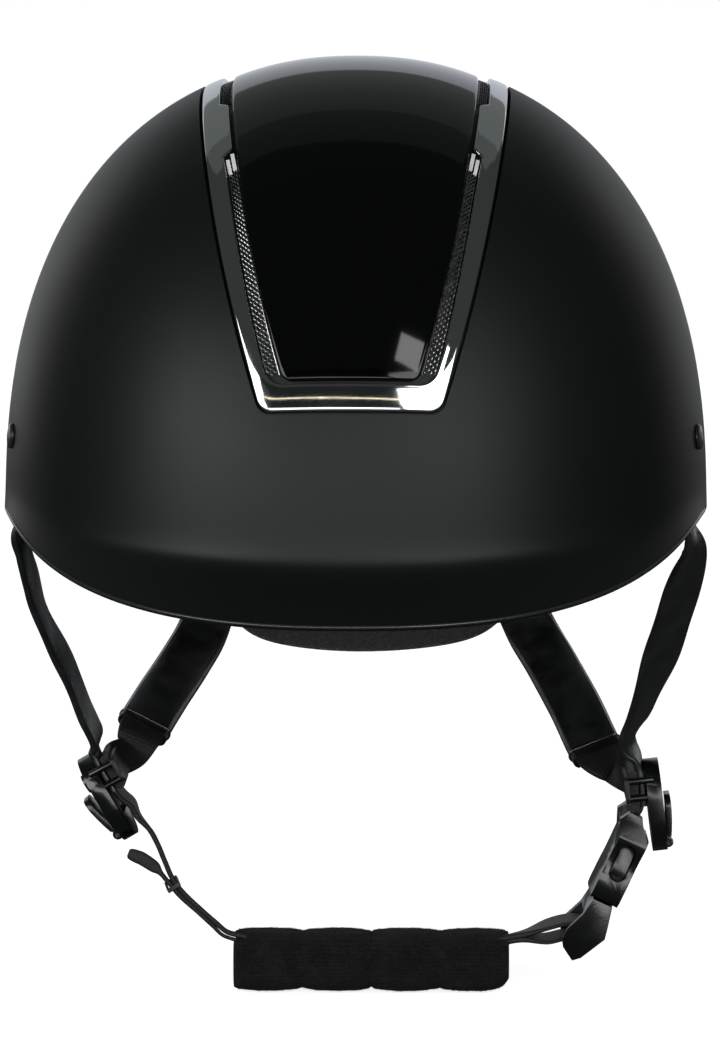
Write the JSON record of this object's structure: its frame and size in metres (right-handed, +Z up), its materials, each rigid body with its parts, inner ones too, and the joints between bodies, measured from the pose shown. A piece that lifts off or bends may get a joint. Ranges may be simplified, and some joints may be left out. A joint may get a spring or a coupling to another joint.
{
  "type": "riding helmet",
  "caption": "Matte black riding helmet with a short peak, a smoked chrome trim frame with side mesh vents, a leather harness, a chin pad and a side release buckle.",
  "frame": {"origin": "Middle of the head opening, in the plane of the shell's rim above the ears", "axes": "+Z up through the crown, the face looks along -Y, +X to the wearer's left (right in the picture)"},
  "size_m": [0.224, 0.295, 0.3033],
  "materials": {
    "matte_shell": "matte black lacquer with a faint warm tint",
    "gloss_panel": "high gloss black",
    "smoked_chrome": "smoked chrome plating on plastic",
    "mesh": "fine bright metal mesh",
    "foam": "moulded expanded foam",
    "lining": "dark breathable lining fabric",
    "strap_leather": "smooth black synthetic leather",
    "webbing": "fine woven black webbing",
    "fleece": "soft short pile",
    "harness_plastic": "moulded black plastic, semi gloss",
    "keeper_rubber": "matte black rubber",
    "rivet": "black lacquered rivet heads",
    "steel": "plain steel"
  },
  "bodies": {
    "helmet": {"outer_shell": "matte_shell", "peak_lining": "lining", "foam_liner": "foam", "top_panel": "gloss_panel", "trim_frame": "smoked_chrome", "vent_mesh_front_left": "mesh", "vent_mesh_front_right": "mesh", "vent_mesh_rear_left": "mesh", "vent_mesh_rear_right": "mesh", "comfort_band": "lining", "crown_pad": "lining", "nape_band": "lining", "shell_rivets": "rivet", "rivet_washers": "steel"},
    "harness": {"front_strap_left": "strap_leather", "front_strap_right": "strap_leather", "rear_strap_left": "webbing", "rear_strap_right": "webbing", "rear_sleeve_left": "strap_leather", "rear_sleeve_right": "strap_leather", "divider_plate_left": "harness_plastic", "divider_plate_right": "harness_plastic", "divider_clamp_left": "harness_plastic", "divider_clamp_right": "harness_plastic", "lever_pins": "steel", "buckle_housing": "harness_plastic", "housing_web": "webbing"},
    "left_lever": {"lock_lever_left": "harness_plastic"},
    "right_lever": {"lock_lever_right": "harness_plastic"},
    "chin_strap": {"chin_web_left": "webbing", "web_tail": "webbing", "keeper_ring": "keeper_rubber", "chin_web": "webbing", "chin_pad": "fleece", "buckle_tongue": "harness_plastic"},
    "arm_front": {"buckle_arm_front": "harness_plastic"},
    "arm_rear": {"buckle_arm_rear": "harness_plastic"}
  },
  "joints": [
    {"name": "harness_swing", "type": "hinge", "parent": "helmet", "child": "harness", "pos_m": [0, -0.045, 0.025], "axis": [1, 0, 0], "range_deg": [0, 10], "deforming": ["rear_strap_left", "rear_strap_right", "rear_sleeve_left", "rear_sleeve_right"]},
    {"name": "left_lever_turn", "type": "hinge", "parent": "harness", "child": "left_lever", "pos_m": [-0.07748, 0.005, -0.10955], "axis": [0, -1, 0], "range_deg": [-8, 66]},
    {"name": "right_lever_turn", "type": "hinge", "parent": "harness", "child": "right_lever", "pos_m": [0.10111, 0.005, -0.11161], "axis": [0, 1, 0], "range_deg": [0, 75]},
    {"name": "buckle_pull", "type": "slide", "parent": "harness", "child": "chin_strap", "axis": [-0.4305, 0, -0.9026], "range_m": [0, 0.024], "deforming": ["chin_web_left", "web_tail", "keeper_ring", "buckle_arm_front", "buckle_arm_rear"]},
    {"name": "arm_front_press", "type": "hinge", "parent": "chin_strap", "child": "arm_front", "pos_m": [0.0807, -0.0024, -0.1292], "axis": [-0.9026, 0, 0.4305], "range_deg": [0, 12], "stiffness_Nm_per_rad": 0.08},
    {"name": "arm_rear_press", "type": "hinge", "parent": "chin_strap", "child": "arm_rear", "pos_m": [0.0807, 0.0124, -0.1292], "axis": [0.9026, 0, -0.4305], "range_deg": [0, 12], "stiffness_Nm_per_rad": 0.08}
  ],
  "couplings": [
    {"joint": "arm_rear_press", "follows": "arm_front_press", "ratio": 1}
  ]
}
